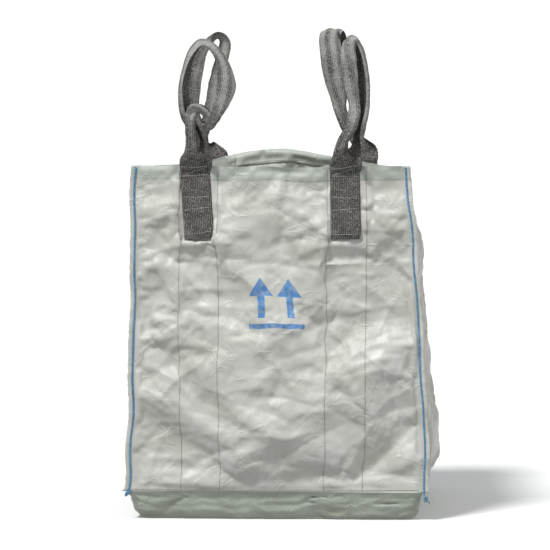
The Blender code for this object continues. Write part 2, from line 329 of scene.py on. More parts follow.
tie_height = 0.10
small_folds = 260
surfaces, wall_slopes = {}, {}
for name, grid in zip(walls, wall_grids):
    tied = smooth_step(np.linspace(0, 1, cloth_rows) * wall_height / tie_height)[:, None, None]
    grid = finer(hung_wall(name) * (1 - tied) + grid * tied, cloth_finer)
    across, up = np.meshgrid(np.linspace(0, 1, grid.shape[1]), np.linspace(0, 1, grid.shape[0]))
    x, z = (across - 0.5) * wall_span, seam_height + up * wall_height
    seed = 300 + 20 * list(walls).index(name)
    draw = np.random.default_rng(seed)
    folds = np.zeros_like(x)
    if name == "front":
        for place_x, place_z, lean, *sizes in front_folds:
            length, width, height = (size / 1000 for size in sizes)
            folds += folded(x, z, (place_x / 1000, place_z / 1000), lean, length, 0.8 * width, 1.25 * height)
    for _ in range(small_folds):
        place = (draw.uniform(-0.46, 0.46), draw.uniform(0.08, 1.03))
        lean = draw.normal(0, 34) if draw.uniform() < 0.75 else draw.uniform(-90, 90)
        size = draw.uniform(0.25, 1.0) ** 1.3
        length, width = 0.040 + 0.190 * size, 0.004 + 0.011 * size * draw.uniform(0.5, 1.2)
        height = width * draw.uniform(0.26, 0.66) * draw.choice([-1, 1, 1])
        folds += folded(x, z, place, lean, length, width, height)
    folds += 0.0007 * soft_noise(x, z, 0.017, seed + 1)
    folds += 0.0012 * soft_noise(x + 0.5 * z, z, 0.034, seed + 2)
    fade = smooth_step((0.5 - np.abs(across - 0.5)) / 0.045) * smooth_step(up / 0.03)
    fade = fade * smooth_step((1 - up) / 0.085)
    if name in leg_middles:
        fade = fade * (1 - 0.9 * by_leg(name, grid[..., 0], 0.008) * (up > 0.77))
    surfaces[name] = grid + (folds * fade)[..., None] * slope_of(grid)
    wall_slopes[name] = slope_of(surfaces[name])


def on_wall(name, x, height, lift):
    """Points on a wall at a place across and a height, raised by lift along the outward normal.

    The place across is x on the front and back walls and y on the side walls. The grid is read by
    blending its four nearest points.
    """
    wall, grid = walls[name], surfaces[name]
    x, height = np.broadcast_arrays(np.asarray(x, float), np.asarray(height, float))
    axis = 0 if name in ("front", "back") else 1
    start = corner_line(*wall["start"], height)[..., axis]
    end = corner_line(*wall["end"], height)[..., axis]
    across = np.clip((x - start) / (end - start), 0, 1) * (grid.shape[1] - 1)
    top = mouth_height(name, across / (grid.shape[1] - 1))
    up = np.clip((height - seam_height) / (top - seam_height), 0, 1) * (grid.shape[0] - 1)
    column = np.minimum(across.astype(int), grid.shape[1] - 2)
    row = np.minimum(up.astype(int), grid.shape[0] - 2)
    u, v = (across - column)[..., None], (up - row)[..., None]
    out = []
    for table in (grid, wall_slopes[name]):
        low = table[row, column] * (1 - u) + table[row, column + 1] * u
        high = table[row + 1, column] * (1 - u) + table[row + 1, column + 1] * u
        out.append(low * (1 - v) + high * v)
    return out[0] + out[1] * np.asarray(lift)[..., None], out[1]


def fin_points(side, face, height, out, behind):
    """Points on a corner fin at a distance out from its seam line, waved by a noise up the corner."""
    points = corner_line(side, face, height)
    part = out / fin_width
    wave = 0.006 * soft_noise(height, 0 * height + 3.3, 0.07, 70 + side + 3 * face) * part ** 1.5
    wave = wave + 0.0015 * soft_noise(height, 0 * height + 1.7, 0.021, 80 + side + 3 * face) * part
    points[..., 0] += side * (out - 0.002 * part * np.abs(soft_noise(height, 0 * height, 0.016, 90)))
    points[..., 1] += -face * (behind + wave - 0.003 * part)
    return points


def node(tree, kind, settings, **inputs):
    """A shader node with its settings, and its named inputs linked to sockets or set to values."""
    made = tree.nodes.new(kind)
    for name, value in settings.items():
        setattr(made, name, value)
    for name, value in inputs.items():
        place = made.inputs[int(name[1:])] if name[0] == "_" else made.inputs[name.replace("_", " ")]
        if isinstance(value, bpy.types.NodeSocket):
            tree.links.new(value, place)
        else:
            place.default_value = value
    return made


def maths(tree, operation, first, second=0.0, third=0.0):
    """The output of one arithmetic node."""
    return node(tree, "ShaderNodeMath", dict(operation=operation), _0=first, _1=second, _2=third).outputs[0]


def blend_colours(tree, part, first, second):
    """The output of a node that blends from the first colour to the second."""
    mixed = node(tree, "ShaderNodeMix", dict(data_type="RGBA"), _0=part, _6=first, _7=second)
    return mixed.outputs[2]


def speckle(tree, place, scale, detail=3.0, rough=0.55):
    """The factor of a noise texture on a place."""
    made = node(tree, "ShaderNodeTexNoise", {}, Vector=place, Scale=scale, Detail=detail, Roughness=rough)
    return made.outputs["Fac"]


def spread(tree, value, low, high, out_low=0.0, out_high=1.0):
    """A value stretched from low..high to out_low..out_high and clipped."""
    return node(tree, "ShaderNodeMapRange", {}, _0=value, _1=low, _2=high, _3=out_low, _4=out_high).outputs[0]


def relief(tree, height, distance, strength=1.0):
    """The normal of a bump node for a height."""
    return node(tree, "ShaderNodeBump", {}, Height=height, Distance=distance, Strength=strength).outputs[0]


def product(tree, first, *others):
    """The product of several values."""
    for other in others:
        first = maths(tree, "MULTIPLY", first, other)
    return first


def weighted(tree, *pairs):
    """The sum of values times their weights."""
    parts = [maths(tree, "MULTIPLY", value, weight) for value, weight in pairs]
    total = parts[0]
    for part in parts[1:]:
        total = maths(tree, "ADD", total, part)
    return total


def sine(tree, value):
    """The sine of a value."""
    return maths(tree, "SINE", value)


def scaled(tree, place, scale):
    """A place stretched by a scale in each direction."""
    return node(tree, "ShaderNodeMapping", dict(vector_type="POINT"), Vector=place, Scale=scale).outputs[0]


def blank_paint(name):
    """A new material, its node tree and its shader."""
    paint = bpy.data.materials.new(name)
    paint.use_nodes = True
    return paint, paint.node_tree, paint.node_tree.nodes["Principled BSDF"]


def cut_flat(tree):
    """The place on the cloth when it is cut flat, then its two parts across and up, in metres."""
    flat = node(tree, "ShaderNodeUVMap", dict(uv_map="flat cloth")).outputs[0]
    split = node(tree, "ShaderNodeSeparateXYZ", {}, Vector=flat)
    return flat, split.outputs[0], split.outputs[1]


def coated_cloth(name, light, dark, tape, with_mark=False):
    """White or greyed coated cloth: cloudy tone, faint tapes, dusty streaks and a greener stiff hem.

    The tapes go over and under as the product of two sines along the cloth's two directions. Fine
    cracks of the coating are the edges of two sets of bent cells.
    """
    paint, tree, shader = blank_paint(name)
    shader.inputs["Specular IOR Level"].default_value = 0.45
    shader.inputs["Coat Weight"].default_value = 0.06
    shader.inputs["Coat Roughness"].default_value = 0.25
    flat, u, v = cut_flat(tree)
    cloud = speckle(tree, flat, 7.0, 5.0)
    dust = speckle(tree, flat, 60.0, 2.0)
    weave = product(tree, *(sine(tree, maths(tree, "MULTIPLY", way, math.pi / tape)) for way in (u, v)))
    tone = blend_colours(tree, spread(tree, cloud, 0.34, 0.68), light, dark)
    streak = speckle(tree, scaled(tree, flat, (260.0, 5.0, 1.0)), 1.0)
    tone = blend_colours(tree, spread(tree, streak, 0.45, 0.75, 0.0, 0.22), tone, dark)
    tone = blend_colours(tree, spread(tree, weave, -1.0, 1.0, 0.0, 0.10), tone, dark)
    bend = node(tree, "ShaderNodeTexNoise", {}, Vector=flat, Scale=9.0, Detail=2.0)
    bent = node(tree, "ShaderNodeVectorMath", dict(operation="MULTIPLY_ADD"), _0=bend.outputs["Color"],
                _1=(0.09, 0.09, 0.0), _2=flat)
    cracks = []
    for scale, width in ((17.0, 0.030), (41.0, 0.035)):
        cells = node(tree, "ShaderNodeTexVoronoi", dict(feature="DISTANCE_TO_EDGE"),
                     Vector=bent.outputs[0], Scale=scale)
        cracks.append(spread(tree, cells.outputs["Distance"], 0.0, width * 2.2, 1.0, 0.0))
    crack = maths(tree, "MAXIMUM", cracks[0], product(tree, cracks[1], 0.7))
    crack = product(tree, crack, spread(tree, speckle(tree, flat, 13.0, 2.0), 0.42, 0.62))
    crack_light = tuple(1.15 * part for part in light[:3]) + (1,)
    tone = blend_colours(tree, product(tree, crack, 0.30), tone, crack_light)
    hem = maths(tree, "GREATER_THAN", v, hem_height - hem_depth)
    tone = blend_colours(tree, product(tree, hem, 0.75), tone, (0.440, 0.485, 0.435, 1))
    if with_mark:
        tone = blend_colours(tree, upright_mark(tree, u, v, dust), tone, (0.045, 0.215, 0.520, 1))
    tree.links.new(tone, shader.inputs["Base Color"])
    tree.links.new(spread(tree, cloud, 0.3, 0.7, 0.36, 0.52), shader.inputs["Roughness"])
    height = weighted(tree, (weave, 0.35), (dust, 0.5), (crack, 2.6))
    tree.links.new(relief(tree, height, 0.0006, 0.8), shader.inputs["Normal"])
    return paint


def upright_mark(tree, u, v, dust):
    """A printed pair of arrows that point up, over a bar: the plain sign for this way up.

    An arrow is a stem, |x| < w, and a head, |x| < h - z, each by comparing distances. The ink is
    worn thin by the noise.
    """
    mark_foot, arrow_aside, stem_half, arrow_tip = 0.590, 0.045, 0.011, 0.150
    up = maths(tree, "SUBTRACT", v, mark_foot)
    off_middle = maths(tree, "ABSOLUTE", u)
    aside = maths(tree, "ABSOLUTE", maths(tree, "SUBTRACT", off_middle, arrow_aside))
    stem = product(tree, maths(tree, "LESS_THAN", aside, stem_half),
                   maths(tree, "GREATER_THAN", up, 0.030), maths(tree, "LESS_THAN", up, 0.110))
    slant = maths(tree, "MULTIPLY", maths(tree, "SUBTRACT", arrow_tip, up), 0.72)
    head = product(tree, maths(tree, "LESS_THAN", aside, slant), maths(tree, "GREATER_THAN", up, 0.095))
    bar = product(tree, maths(tree, "LESS_THAN", off_middle, 0.086), maths(tree, "COMPARE", up, 0.006, 0.007))
    ink = maths(tree, "MAXIMUM", maths(tree, "MAXIMUM", stem, head), bar)
    return product(tree, ink, spread(tree, dust, 0.30, 0.55, 0.55, 0.92))


wall_light, wall_dark = (0.650, 0.645, 0.612, 1), (0.480, 0.488, 0.430, 1)
wall_tape = 0.0026
wall_cloth = coated_cloth("wall_cloth", wall_light, wall_dark, wall_tape)
front_cloth = coated_cloth("front_cloth", wall_light, wall_dark, wall_tape, with_mark=True)


def new_piece(name, points, faces, paint):
    """An object with a smooth mesh of the given points and faces, in one material."""
    mesh = bpy.data.meshes.new(name)
    mesh.from_pydata(points.tolist(), [], [list(face) for face in faces])
    mesh.shade_smooth()
    mesh.materials.append(paint)
    piece = bpy.data.objects.new(name, mesh)
    bpy.context.collection.objects.link(piece)
    return piece


def laid_cloth(name, points, faces, flat, thickness, paint, body="bag"):
    """A cloth piece of one face thickness, from points, faces and each point's place when cut flat."""
    piece = new_piece(name, points, faces, paint)
    mesh = piece.data
    mesh.set_sharp_from_angle(angle=math.radians(70))
    corners = np.empty(len(mesh.loops), dtype=np.int32)
    mesh.loops.foreach_get("vertex_index", corners)
    places = flat[corners].astype(np.float32).ravel()
    mesh.uv_layers.new(name="flat cloth").data.foreach_set("uv", places)
    if thickness:
        thick = piece.modifiers.new("thickness", "SOLIDIFY")
        thick.thickness = thickness
        thick.offset = 0
    if body:
        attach(piece, body)
    return piece


wall_thick = 0.0008
fin_steps = np.array([0.007, 0.0135, fin_width])
for name, wall in walls.items():
    grid = surfaces[name]
    rows, columns = grid.shape[:2]
    height = np.linspace(seam_height, hem_height, rows)
    fins = []
    for corner in (wall["start"], wall["end"]):
        rise = np.linspace(seam_height, hem_height - corner_drops[corner], rows)[:, None]
        fins.append(fin_points(*corner, rise + 0 * fin_steps, fin_steps + 0 * rise, wall["set_back"]))
    sheet = np.concatenate([fins[0][:, ::-1], grid, fins[1]], axis=1)
    inward = -np.array(wall["outward"])
    down = np.arange(1, int(hem_depth / (height[1] - height[0])) + 1)
    fold = grid[rows - 1 - down] + inward * (0.0035 * np.minimum(down / 2, 1)[:, None, None] ** 0.5)
    order = np.arange(rows * (columns + 6)).reshape(rows, columns + 6)
    fold_order = order.size + np.arange(fold.shape[0] * columns).reshape(-1, columns)
    faces = np.concatenate([faces_of(order), faces_of(np.concatenate([order[-1:, 3:-3], fold_order]))])
    middle = (np.arange(columns + 6) - (columns + 5) / 2) * wall_span / (columns - 1)
    flat = np.stack(np.meshgrid(middle, height), -1)
    fold_flat = np.stack(np.meshgrid(middle[3:-3], hem_height + down * (height[1] - height[0])), -1)
    points = np.concatenate([sheet.reshape(-1, 3), fold.reshape(-1, 3)])
    paint = front_cloth if name == "front" else wall_cloth
    flat = np.concatenate([flat.reshape(-1, 2), fold_flat.reshape(-1, 2)])
    piece = laid_cloth(f"{name}_wall", points, faces, flat, wall_thick, paint)
    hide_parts(f"{name}_panel")

# Base: a tray of the same coated cloth, painted darker and greener than the walls as painted shade for the
# foot of the bag. Its rim is turned up inside the walls, its side shows as a low wrinkled band, and its floor
# lies flat on the ground.
base_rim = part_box("base_panel")[1][2]
base_columns = 520
corner_in = 0.012
base_half_x, base_half_y = 0.446, 0.4425


def rounded_outline(turn, inset, radius):
    """Points round a rectangle with rounded corners: each quarter is a side, then an arc.

    turn runs from 0 to 1 once round, and the sides move in by inset. An arc takes the first and the
    last 6 per cent of a quarter.
    """
    bend = 0.06
    quarter = np.floor(turn * 4) % 4
    part = turn * 4 - np.floor(turn * 4)
    straight = np.clip((part - bend) / (1 - 2 * bend), 0, 1)
    arc = (np.clip(part / bend, 0, 1) - 1 + np.clip((part - 1 + bend) / bend, 0, 1)) * math.pi / 4
    half_x, half_y = base_half_x - inset, base_half_y - inset
    even = quarter % 2 == 0
    long, deep = np.where(even, half_x, half_y), np.where(even, half_y, half_x)
    x = -(long - radius) + 2 * (long - radius) * straight + radius * np.sin(arc)
    y = -(deep - radius) - radius * np.cos(arc)
    angle = quarter * math.pi / 2
    return x * np.cos(angle) - y * np.sin(angle), x * np.sin(angle) + y * np.cos(angle)


# Each ring is a height, an inset and a corner radius: the rim inside the walls, a ledge under their
# edge, the side, the round foot and the floor.
rings = [(base_rim - 0.0035 * step, 0.0135 - 0.0010 * step, corner_in) for step in range(11)]
rings += [(seam_height + 0.001, 0.0022, corner_in), (seam_height - 0.001, -0.0010, corner_in),
          (seam_height - 0.003, 0.0004, corner_in)]
rings += [(seam_height - 0.003 - 0.0055 * step, 0.0008 + 0.0012 * step, corner_in + 0.0028 * step)
          for step in range(1, 9)]
side_foot, side_in, side_round = rings[-1]
foot_rings, floor_rings = 9, 33
for step in range(1, foot_rings + 1):
    angle = step / foot_rings * math.pi / 2
    rings.append((side_foot * (1 - math.sin(angle)), side_in + side_foot * 0.9 * (1 - math.cos(angle)),
                  side_round + 0.03 * step / foot_rings))
last_in, last_round = rings[-1][1:]
for part in np.arange(1, floor_rings + 1) / floor_rings:
    rings.append((0.0, last_in + (base_half_y - last_in - 0.004) * part, last_round * (1 - part) + 0.002))
heights, insets, rounds = (np.array(column)[:, None] for column in zip(*rings))
turn = np.broadcast_to(np.linspace(0, 1, base_columns, endpoint=False), (len(rings), base_columns))
base_x, base_y = rounded_outline(turn, insets, rounds)
base_z = heights + 0 * turn
way = turn * 3.55
wrinkle = (0.0055 * soft_noise(0.6 * way + 0.6 * base_z, 3.4 * base_z, 0.080, 501)
           + 0.0016 * soft_noise(way - 1.1 * base_z, 2.0 * base_z, 0.030, 502))
ridge = 1 - np.abs(soft_noise(0.55 * way - 1.0 * base_z, 5.0 * base_z, 0.100, 503))
fine_ridge = 1 - np.abs(soft_noise(0.5 * way + 1.2 * base_z, 4.0 * base_z, 0.055, 507))
wrinkle = wrinkle + 0.0100 * (ridge ** 5 - 0.2) + 0.0042 * (fine_ridge ** 5 - 0.2)
wrinkle = wrinkle * smooth_step(np.minimum(turn, 1 - turn) / 0.01)
side_part = smooth_step((seam_height - base_z) / 0.02) * smooth_step(base_z / 0.006)
length = np.maximum(np.hypot(base_x, base_y), 1e-6)
push = wrinkle * side_part
base_x, base_y = (table - table / length * np.abs(push) for table in (base_x, base_y))
lumps = (np.abs(soft_noise(base_x, base_y, 0.09, 504)) * 0.006
         + np.abs(soft_noise(base_x, base_y, 0.035, 505)) * 0.003)
floor_part = smooth_step((insets - 0.06) / 0.05) * (heights == 0.0)
base_z = base_z + lumps * floor_part + 0.006 * side_part * soft_noise(base_x, base_y, 0.06, 506)
base_z = np.maximum(base_z, 0.0) + 0.0005
base_x = base_x + 0.004
base_points = np.concatenate([np.stack([base_x, base_y, base_z], -1).reshape(-1, 3),
                              [(0.0, 0.0, float(base_z[-1].mean()))]])
base_order = np.arange(len(rings) * base_columns).reshape(-1, base_columns)
base_order = np.concatenate([base_order, base_order[:, :1]], axis=1)
base_faces = faces_of(base_order).tolist()
near, far = base_order[-1, :-1], base_order[-1, 1:]
base_faces += np.stack([near, far, 0 * far + len(base_points) - 1], -1).tolist()
base_flat = base_points[:, :2] * (1 + 0.25 * base_points[:, 2:] / base_rim)
# The tray's colours are painted darker and greener than the walls': painted shade.
base_cloth_painted_shade = coated_cloth("base_cloth_painted_shade", (0.470, 0.510, 0.445, 1), (0.330, 0.360, 0.290, 1), wall_tape)
base_tray = laid_cloth("base_tray", base_points, base_faces, base_flat, 0.0009, base_cloth_painted_shade)
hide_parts("base_panel")

# Lifting loops: one length of dark woven webbing each, 88 mm wide. It runs up the wall as a flat leg,
# gathers into a rope-like neck, opens into the eye, and comes back down onto its own leg.
webbing_width = 0.088
webbing_thick = 0.0018
strap_steps = 0.0022
strap_columns = 23
least_roll = 0.02

# Each place along a loop: across from its leg, out from its wall and height over the hem in
# millimetres, turn of the web about the upright in degrees, and its edges' roll in radians.
loop_places = {
    "front_left": [
        (-2, -4, 20, 4, 0.7), (-4, -5, 45, 8, 1.7), (-6, -6, 76, 15, 2.7), (-8, -10, 106, 25, 2.9),
        (-8, -14, 139, 35, 2.4), (-2, -12, 161, 45, 1.9), (13, -6, 172, 75, 1.5), (30, 0, 164, 90, 1.4),
        (39, 6, 148, 90, 1.4), (36, 8, 130, 75, 1.6), (40, 0, 119, 60, 2.0), (53, -10, 129, 50, 2.2),
        (71, -12, 154, 45, 1.9), (89, -12, 190, 40, 1.5), (103, -10, 233, 35, 1.2), (104, -8, 263, 45, 1.2),
        (97, -4, 302, 65, 1.3), (77, 0, 338, 80, 1.3), (53, 2, 363, 88, 1.3), (23, 2, 373, 90, 1.3),
        (1, 0, 356, 88, 1.2), (-14, -2, 329, 86, 1.0), (-25, -4, 293, 82, 0.9), (-34, -4, 248, 78, 1.0),
        (-36, -2, 212, 76, 1.3), (-33, 2, 178, 72, 1.8), (-24, 4, 148, 65, 2.3), (-5, 10, 118, 50, 2.8),
        (13, 10, 88, 35, 2.8), (24, 6, 54, 15, 2.2), (20, 2, 24, 0, 1.0)],
    "back_left": [
        (-34, 0, 14, -10, 1.2), (-35, 0, 46, -30, 2.4), (-30, 0, 84, -50, 2.6), (-24, -2, 129, -60, 2.2),
        (-14, -4, 168, -60, 1.8), (-8, -4, 212, -65, 1.8), (8, -4, 264, -50, 1.6), (18, -4, 302, -55, 1.4),
        (29, 0, 350, -60, 1.4), (23, 0, 376, -80, 1.3), (5, 0, 378, -85, 1.0), (-14, 0, 357, -70, 0.7),
        (-37, 2, 322, -58, 0.6), (-51, 4, 280, -52, 0.6), (-58, 4, 238, -52, 0.7), (-59, 4, 206, -55, 1.0),
        (-64, 4, 174, -55, 1.6), (-66, 4, 142, -55, 2.2), (-53, 6, 103, -40, 2.7), (-40, 6, 58, -20, 2.4),
        (-36, 5, 20, 0, 1.2)],
    "front_right": [
        (-8, -4, 24, -5, 1.4), (-8, -7, 50, -12, 2.3), (0, -10, 80, -18, 2.6), (18, -13, 112, -20, 2.5),
        (30, -14, 148, -15, 2.3), (34, -12, 181, -8, 2.6), (29, -10, 208, 0, 2.3), (21, -12, 240, 5, 1.9),
        (18, -14, 280, 3, 1.9), (14, -14, 320, -5, 1.9), (11, -12, 353, -20, 1.9), (16, -6, 376, -42, 1.7),
        (27, 2, 381, -55, 1.6), (39, 10, 366, -60, 1.5), (50, 12, 334, -60, 1.5), (57, 14, 294, -58, 1.5),
        (62, 14, 251, -56, 1.6), (63, 12, 205, -52, 1.8), (60, 8, 166, -45, 2.1), (51, 6, 130, -30, 2.5),
        (43, 6, 94, -15, 2.6), (38, 5, 54, -5, 2.2), (20, 3, 18, 0, 0.9)],
    "back_right": [
        (3, 0, 7, 0, 0.9), (-23, -3, 46, 5, 2.2), (-48, -5, 78, 10, 2.6), (-64, -6, 110, 10, 2.6),
        (-77, -8, 148, 5, 2.4), (-82, -12, 184, 5, 1.9), (-90, -18, 225, 5, 1.45), (-97, -22, 277, 6, 1.15),
        (-103, -22, 328, 8, 1.15), (-107, -16, 370, 10, 1.2), (-103, -3, 392, 13, 1.3),
        (-94, 10, 384, 16, 1.3), (-86, 20, 352, 18, 1.3), (-83, 22, 302, 18, 1.3), (-81, 20, 248, 18, 1.5),
        (-77, 14, 200, 15, 1.9), (-74, 8, 152, 10, 2.4), (-61, 6, 110, 10, 2.6), (-45, 6, 78, 10, 2.6),
        (-19, 5, 46, 5, 2.2), (4, 4, 10, 0, 0.9)],
}
loop_feet = {"front_left": -0.240, "back_left": -0.240, "front_right": 0.213, "back_right": 0.240}
leg_slant = {"front_left": 0.016, "back_left": 0.010, "front_right": 0.005, "back_right": -0.006}
loop_ys = {corner: -0.4435 if corner.startswith("front") else 0.4435 for corner in loop_places}
ply_lift = {"under": 0.0014, "over": 0.0034}


def leg_places(corner, ply):
    """The flat part of a strap down its leg, from the hem to its cut end: position, turn and roll.

    It lies on the furthest out of five points across the wall's cloth.
    """
    wall = corner.split("_")[0]
    face = -1 if wall == "front" else 1
    height = np.linspace(hem_height - 0.012, leg_foot + (0.010 if ply == "under" else 0.0), 14)
    slide = leg_slant[corner] * (hem_height - height) / 0.22
    x = loop_feet[corner] + slide + (0.0015 if ply == "under" else 0.0)
    under = [on_wall(wall, x + side * webbing_width / 2, height, 0 * x)[0][..., 1] * face
             for side in (-0.98, -0.5, 0.0, 0.5, 0.98)]
    y = face * (np.max(under, axis=0) + ply_lift[ply])
    return np.stack([x, y, height, 0 * x, 0 * x + least_roll], -1)


def loop_path(corner):
    """A loop's places as positions in metres, with their turns and rolls in radians."""
    places = np.array(loop_places[corner])
    places[:, :3] = places[:, :3] / 1000 + [loop_feet[corner], loop_ys[corner], hem_height]
    places[:, 3] = np.radians(places[:, 3])
    return places


def strap_path(corner):
    """A strap's places from one cut end to the other."""
    first, last = ("over", "under") if corner.startswith("front") else ("under", "over")
    return np.concatenate([leg_places(corner, first)[::-1], loop_path(corner), leg_places(corner, last)])


def along_path(places, step):
    """Places every step along the smooth curve (Catmull-Rom) through the given places."""
    dense = finer(np.stack([places, places]), 16)[0]
    length = np.concatenate([[0], np.cumsum(np.linalg.norm(np.diff(dense[:, :3], axis=0), axis=1))])
    even = np.linspace(0, length[-1], int(length[-1] / step) + 1)
    return np.stack([np.interp(even, length, dense[:, column]) for column in range(dense.shape[1])], -1), even


def strap_frame(places):
    """For each place: its centre, the web's direction across, and the web's face direction.

    Across is the level direction at the place's turn, less its part along the path.
    """
    centre, turn = places[:, :3], places[:, 3]
    tangent = np.gradient(centre, axis=0)
    kernel = np.ones(9) / 9
    padded = np.pad(tangent, ((4, 4), (0, 0)), mode="edge")
    tangent = np.stack([np.convolve(column, kernel, "valid") for column in padded.T], -1)
    tangent /= np.linalg.norm(tangent, axis=1, keepdims=True)
    across = np.stack([np.cos(turn), np.sin(turn), 0 * turn], -1)
    across -= (across * tangent).sum(1, keepdims=True) * tangent
    across /= np.linalg.norm(across, axis=1, keepdims=True)
    return centre, across, np.cross(tangent, across)


def pleats(even, side, seed):
    """Lengthwise pleats from -1 to 1: a sine across the web that drifts along it, its crests narrowed."""
    drift = even[:, None] * 9.0 + 2.0 * soft_noise(even[:, None], 0 * side, 0.12, seed + 5)
    wave = np.sin(side * 8.0 + drift)
    return 2 * ((wave + 1) / 2) ** 1.6 - 0.85


def web_points(places, even, side, lift, seed):
    """Points on a strap at side, from -1 to 1 across it, raised by lift from its middle surface.

    Across the web the section is an arc of half angle c: w sin(c s) / c aside and
    w (1 - cos(c s)) / c out. Its edges are notched by the loops of the weft every 6 mm.
    """
    centre, across, out = strap_frame(places)
    roll = np.maximum(places[:, 4], least_roll)[:, None]
    gathered = smooth_step((roll - 0.9) / 1.2)
    notch = 0.0010 * np.sin(even * 2 * math.pi / 0.0060)[:, None] * np.sign(side) * (np.abs(side) > 0.97)
    half = webbing_width / 2
    angle = roll * side
    crease = 0.0046 * pleats(even, side, seed) * gathered * (1 - 0.5 * side ** 2)
    crease = crease + 0.0014 * soft_noise(side * half + 0.2, even[:, None], 0.014, seed) * gathered
    aside = half * np.sin(angle) / roll * (1 - 0.10 * gathered) + notch - (lift + crease) * np.sin(angle)
    raised = half * (1 - np.cos(angle)) / roll - half * (1 - np.cos(roll)) / roll * 0.45
    raised = raised * (1 - 0.35 * gathered) + (lift + crease) * np.cos(angle)
    return centre[:, None] + across[:, None] * aside[..., None] + out[:, None] * raised[..., None]


def strap_cloth(name):
    """Twill webbing: rows of pale face yarn on a dark ground, in slanted steps, worn by noise.

    The up attribute runs from 0 on the leg to 1 in the eye, where the web is coloured lighter. It also
    carries painted shade and light, set where the straps are made: one face of the web is painted darker than
    the other, and the pleat crests are painted lighter on the paler face and darker on the darker one.
    """
    twill_across, twill_along, yarn_width = 0.0110, 0.0074, 0.0026
    paint, tree, shader = blank_paint(name)
    shader.inputs["Roughness"].default_value = 0.58
    shader.inputs["Specular IOR Level"].default_value = 0.4
    flat, u, v = cut_flat(tree)
    up = node(tree, "ShaderNodeAttribute", dict(attribute_name="up")).outputs["Fac"]
    rows = product(tree, *(sine(tree, weighted(tree, (u, 2 * math.pi / twill_across),
                                               (v, way * 2 * math.pi / twill_along))) for way in (1, -1)))
    yarns = sine(tree, maths(tree, "MULTIPLY", u, 2 * math.pi / yarn_width))
    grain = speckle(tree, scaled(tree, flat, (420.0, 150.0, 1.0)), 1.0, 1.0)
    worn = speckle(tree, flat, 16.0, 3.0)
    part = weighted(tree, (rows, 0.20), (yarns, 0.05), (grain, 0.9), (worn, 0.5), (up, 0.16))
    # Ground and face yarn are both lightened by up, which carries painted shade and light as well as the
    # lighter eye.
    ground = blend_colours(tree, up, (0.028, 0.026, 0.023, 1), (0.060, 0.058, 0.054, 1))
    face = blend_colours(tree, up, (0.185, 0.176, 0.162, 1), (0.480, 0.472, 0.455, 1))
    tone = blend_colours(tree, spread(tree, part, 0.58, 0.80), ground, face)
    tone = blend_colours(tree, spread(tree, part, 0.84, 1.02, 0.0, 0.95), tone, (0.620, 0.610, 0.580, 1))
    tree.links.new(tone, shader.inputs["Base Color"])
    height = weighted(tree, (rows, 1.0), (yarns, 0.6))
    tree.links.new(relief(tree, height, 0.0009, 0.9), shader.inputs["Normal"])
    return paint


webbing = strap_cloth("webbing")

strap_runs = {}
for number, corner in enumerate(loop_places):
    places, even = along_path(strap_path(corner), strap_steps)
    strap_runs[corner] = (places, even)
    side = np.concatenate([[-1.0], np.linspace(-0.965, 0.965, strap_columns - 2), [1.0]])[None, :]
    points = np.concatenate([web_points(places, even, side, lift, 600 + number).reshape(-1, 3)
                             for lift in (webbing_thick / 2, -webbing_thick / 2)])
    order = np.arange(len(places) * strap_columns).reshape(-1, strap_columns)
    other = order + order.size
    rims = (np.stack([order[:, -1], other[:, -1]], 1), np.stack([other[:, 0], order[:, 0]], 1),
            np.stack([other[0], order[0]]), np.stack([order[-1], other[-1]]))
    faces = np.concatenate([faces_of(order), faces_of(other)[:, ::-1], *(faces_of(rim) for rim in rims)])
    flat = np.stack(np.broadcast_arrays(side * webbing_width / 2, even[:, None]), -1).reshape(-1, 2)
    flat = np.concatenate([flat, flat])
    strap = laid_cloth(f"strap_{corner}", points, faces, flat, 0.0, webbing, body=None)
    # Painted shade and light: one face of each strap is painted darker than the other, and along the pleats
    # the colour is painted lighter and darker across the web.
    up = smooth_step((points[:, 2] - hem_height - 0.05) / 0.11)
    pleat_shading = smooth_step(0.62 + 0.65 * pleats(even, side, 600 + number)).ravel()
    up = up * np.concatenate([0.10 + 0.25 * (1 - pleat_shading), 0.30 + 0.75 * pleat_shading])
    strap.data.attributes.new("up", "FLOAT", "POINT").data.foreach_set("value", up.astype(np.float32))
    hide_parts(f"leg_{corner}", f"loop_{corner}")
    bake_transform(strap)

# Reinforcing strips: a band of bare woven tape behind each leg, from the hem down to the base, laid
# inside the wall where the loop's load spreads into the cloth.
strip_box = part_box("strip_front_right")
strip_half = (strip_box[1][0] - strip_box[0][0]) / 2
row_places = {"front_left": -0.225, "back_left": -0.225, "front_right": 0.216, "back_right": 0.225}
row_apart = 0.059
strip_cloth = coated_cloth("strip_cloth", (0.430, 0.450, 0.410, 1), (0.320, 0.340, 0.300, 1), 0.0030)


def row_line(corner, side, height):
    """The place across of a strip's outer (-1) or inner (1) stitch row at a height: it wanders a little."""
    wander = 0.006 * np.sin((height - 0.55) * 5.2) + 0.0022 * soft_noise(height, 0 * height, 0.12, 700)
    return row_places[corner] + side * row_apart + wander * (1 if "right" in corner else -0.6)


for corner in row_places:
    wall = corner.split("_")[0]
    height = np.linspace(seam_height + 0.004, hem_height - 0.006, 190)
    spot, rise = np.meshgrid(np.linspace(-1, 1, 15), height)
    middle = (row_line(corner, -1, rise) + row_line(corner, 1, rise)) / 2
    points = on_wall(wall, middle + spot * strip_half, rise, 0 * rise - 0.0030)[0]
    order = np.arange(points[..., 0].size).reshape(points.shape[:2])
    faces = faces_of(order if wall == "back" else order[:, ::-1])
    flat = np.stack([spot * strip_half, rise], -1).reshape(-1, 2)
    strip = laid_cloth(f"strip_{corner}_cloth", points.reshape(-1, 3), faces, flat, wall_thick, strip_cloth)
    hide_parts(f"strip_{corner}")

